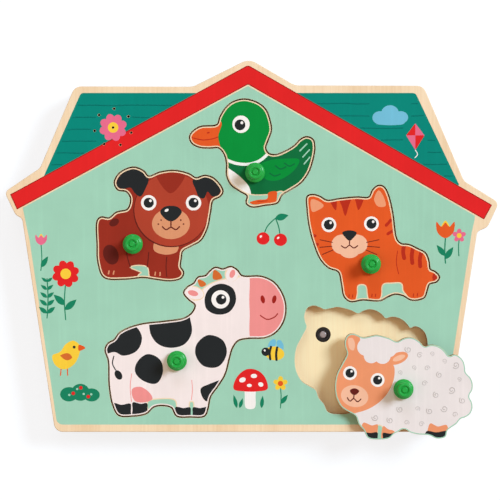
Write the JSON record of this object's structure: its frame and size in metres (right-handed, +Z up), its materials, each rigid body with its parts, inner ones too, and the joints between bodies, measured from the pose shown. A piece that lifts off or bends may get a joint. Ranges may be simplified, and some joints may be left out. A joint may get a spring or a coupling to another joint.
{
  "type": "sound puzzle",
  "caption": "House-shaped wooden puzzle board with lift-out knobbed farm animals over light sensors that play a sound, with a battery box in the back.",
  "frame": {"origin": "on the underside of the back board, in the middle of the house", "axes": "+X to the right of the picture, +Y towards the roof, +Z up out of the printed face"},
  "size_m": [0.3003, 0.231, 0.0435],
  "materials": {
    "printed_wood": "satin",
    "bare_wood": "satin",
    "dog_paint": "satin",
    "duck_paint": "satin",
    "cat_paint": "satin",
    "cow_paint": "satin",
    "sheep_paint": "satin",
    "knob_green": "gloss",
    "steel": "satin",
    "black_plastic": "matte",
    "sensor_lens": "gloss",
    "lead_cover": "satin",
    "circuit_green": "satin",
    "speaker_paper": "matte",
    "cell_wrap": "gloss"
  },
  "bodies": {
    "board": {"face_board": "printed_wood", "floor_board": "bare_wood", "side_frame": "bare_wood", "back_board": "bare_wood", "back_screw_1": "steel", "back_screw_2": "steel", "back_screw_3": "steel", "back_screw_4": "steel", "back_screw_5": "steel", "back_screw_6": "steel", "dog_light_sensor": "sensor_lens", "dog_sensor_sleeve": "black_plastic", "dog_sensor_lead": "lead_cover", "duck_light_sensor": "sensor_lens", "duck_sensor_sleeve": "black_plastic", "duck_sensor_lead": "lead_cover", "cat_light_sensor": "sensor_lens", "cat_sensor_sleeve": "black_plastic", "cat_sensor_lead": "lead_cover", "cow_light_sensor": "sensor_lens", "cow_sensor_sleeve": "black_plastic", "cow_sensor_lead": "lead_cover", "sheep_light_sensor": "sensor_lens", "sheep_sensor_sleeve": "black_plastic", "sheep_sensor_lead": "lead_cover", "circuit_board": "circuit_green", "sound_chip": "black_plastic", "circuit_screw_1": "steel", "circuit_screw_2": "steel", "speaker_frame": "black_plastic", "speaker_cone": "speaker_paper", "speaker_magnet": "steel", "speaker_lead": "lead_cover", "battery_box": "black_plastic", "battery_1": "cell_wrap", "battery_2": "cell_wrap", "battery_spring_1": "steel", "battery_spring_2": "steel", "battery_contact_1": "steel", "battery_contact_2": "steel", "battery_lead": "lead_cover"},
    "dog": {"dog_piece": "dog_paint", "dog_knob": "knob_green", "dog_knob_screw": "steel"},
    "duck": {"duck_piece": "duck_paint", "duck_knob": "knob_green", "duck_knob_screw": "steel"},
    "cat": {"cat_piece": "cat_paint", "cat_knob": "knob_green", "cat_knob_screw": "steel"},
    "cow": {"cow_piece": "cow_paint", "cow_knob": "knob_green", "cow_knob_screw": "steel"},
    "sheep": {"sheep_piece": "sheep_paint", "sheep_knob": "knob_green", "sheep_knob_screw": "steel"},
    "battery_door": {"battery_door": "black_plastic"},
    "battery_door_screw": {"battery_door_screw": "steel"}
  },
  "joints": [
    {"name": "dog_lift", "type": "slide", "parent": "board", "child": "dog", "axis": [0, 0, 1], "range_m": [0, 0.04]},
    {"name": "duck_lift", "type": "slide", "parent": "board", "child": "duck", "axis": [0, 0, 1], "range_m": [0, 0.04]},
    {"name": "cat_lift", "type": "slide", "parent": "board", "child": "cat", "axis": [0, 0, 1], "range_m": [0, 0.04]},
    {"name": "cow_lift", "type": "slide", "parent": "board", "child": "cow", "axis": [0, 0, 1], "range_m": [0, 0.04]},
    {"name": "sheep_lift", "type": "slide", "parent": "board", "child": "sheep", "axis": [0, 0, 1], "range_m": [0, 0.04]},
    {"name": "battery_door_out", "type": "slide", "parent": "board", "child": "battery_door", "axis": [0, 0, -1], "range_m": [0, 0.03]},
    {"name": "battery_door_screw_turn", "type": "hinge", "parent": "battery_door", "child": "battery_door_screw", "pos_m": [0.09205, 0.056, 0.0008], "axis": [0, 0, -1], "continuous": true}
  ]
}
